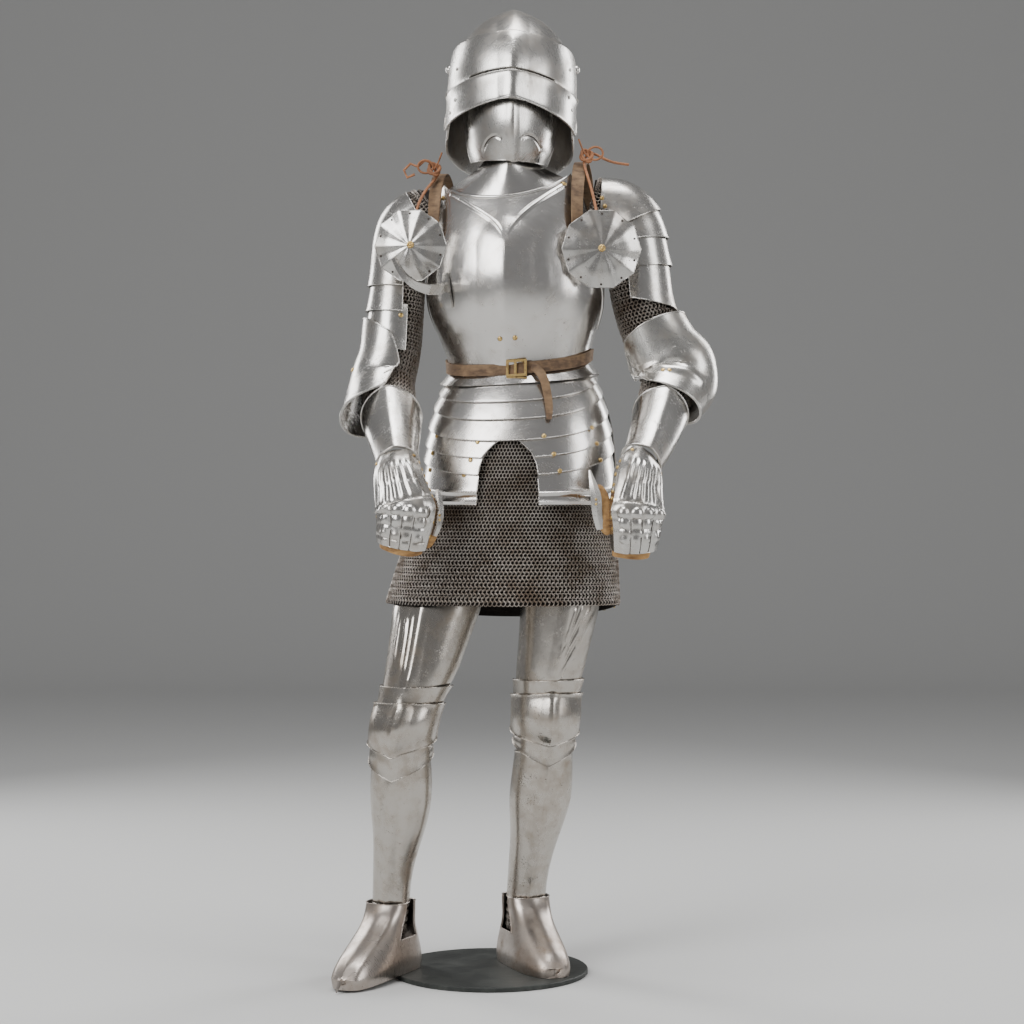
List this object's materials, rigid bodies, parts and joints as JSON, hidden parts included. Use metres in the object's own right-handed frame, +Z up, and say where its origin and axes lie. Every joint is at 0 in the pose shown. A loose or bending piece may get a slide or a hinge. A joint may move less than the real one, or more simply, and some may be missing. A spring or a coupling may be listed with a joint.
{
  "type": "suit of plate armour on a round base",
  "caption": "Standing full suit of plate armour with visored helmet, mail skirt and sleeves, gauntlets and pointed foot plates on a flat round base.",
  "frame": {"origin": "middle of the round base's underside, on the floor", "axes": "+Z up along the standing suit; the suit faces -Y; +X is the wearer's left"},
  "size_m": [0.7075, 0.4481, 1.7929],
  "materials": {
    "plate": "satin, hand polished, fine scratches",
    "dark_plate": "aged, brown patina",
    "mail": "dull linked rings",
    "brass": "aged",
    "strap_leather": "worn brown",
    "lace_leather": "soft lace",
    "glove_leather": "buff, rough",
    "base_iron": "matt, dark"
  },
  "bodies": {
    "suit": {"ankle_mail_left": "mail", "ankle_mail_right": "mail", "backplate": "plate", "base_disc": "base_iron", "belt": "strap_leather", "belt_buckle": "brass", "besagew_left": "plate", "besagew_right": "plate", "bevor": "plate", "bevor_gorget": "plate", "breastplate": "plate", "couter_left": "plate", "couter_right": "plate", "cuisse_left": "plate", "cuisse_right": "plate", "culet": "plate", "fauld_lame_1": "plate", "fauld_lame_2": "plate", "fauld_lame_3": "plate", "fauld_lame_4_left": "plate", "fauld_lame_4_right": "plate", "fauld_lame_5_left": "plate", "fauld_lame_5_right": "plate", "fauld_lame_6_left": "plate", "fauld_lame_6_right": "plate", "gauntlet_cuff_left": "plate", "gauntlet_cuff_right": "plate", "gauntlet_hand_left": "plate", "gauntlet_hand_right": "plate", "gauntlet_thumb_left": "plate", "gauntlet_thumb_right": "plate", "glove_left": "glove_leather", "glove_right": "glove_leather", "greave_left": "plate", "greave_right": "plate", "lance_rest": "dark_plate", "mail_skirt": "mail", "mail_sleeve_left": "mail", "mail_sleeve_right": "mail", "poleyn_left": "plate", "poleyn_lower_lame_left": "plate", "poleyn_lower_lame_right": "plate", "poleyn_right": "plate", "poleyn_upper_lame_left": "plate", "poleyn_upper_lame_right": "plate", "rerebrace_left": "plate", "rerebrace_right": "plate", "sabaton_left": "dark_plate", "sabaton_right": "dark_plate", "sallet_skull": "plate", "shoulder_lace_left": "lace_leather", "shoulder_lace_right": "lace_leather", "shoulder_strap_left": "strap_leather", "shoulder_strap_right": "strap_leather", "spaulder_cap_left": "plate", "spaulder_cap_right": "plate", "spaulder_lame_1_left": "plate", "spaulder_lame_1_right": "plate", "spaulder_lame_2_left": "plate"},
    "visor": {"sallet_visor": "plate"}
  },
  "joints": [
    {"name": "visor_pivot", "type": "hinge", "parent": "suit", "child": "visor", "pos_m": [0.043, -0.008, 1.685], "axis": [-0.999, 0, 0.0436], "range_deg": [0, 48]}
  ]
}
